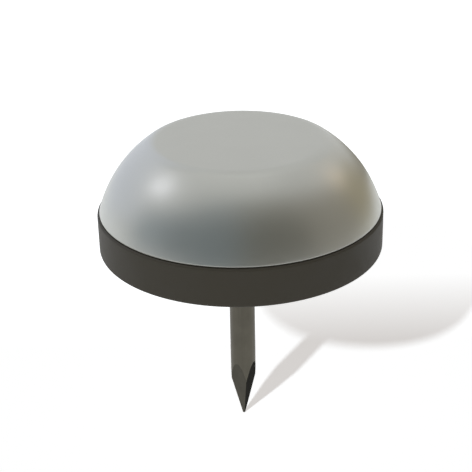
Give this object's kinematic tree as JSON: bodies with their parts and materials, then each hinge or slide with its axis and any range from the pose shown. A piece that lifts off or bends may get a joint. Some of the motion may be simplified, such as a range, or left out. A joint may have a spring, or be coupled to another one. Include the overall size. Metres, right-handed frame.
{
  "type": "nail-on furniture glide",
  "caption": "Nail-on glide for a furniture leg: a low satin nickel dome with a flat sliding face on a dark rubber cushion, with a diamond-pointed steel nail.",
  "frame": {"origin": "centre of the cushion's underside, which seats on the end of the leg", "axes": "+Z along the nail's axis, from the seat towards the sliding face; the nail points along -Z"},
  "size_m": [0.025, 0.025, 0.0278],
  "materials": {
    "cap_nickel": "drawn sheet steel, satin nickel plated",
    "cushion_rubber": "brown-black moulded rubber, matte",
    "nail_steel": "bright drawn wire, dulled"
  },
  "bodies": {
    "root": {"glide_cap": "cap_nickel", "cushion": "cushion_rubber", "nail": "nail_steel"}
  },
  "joints": []
}
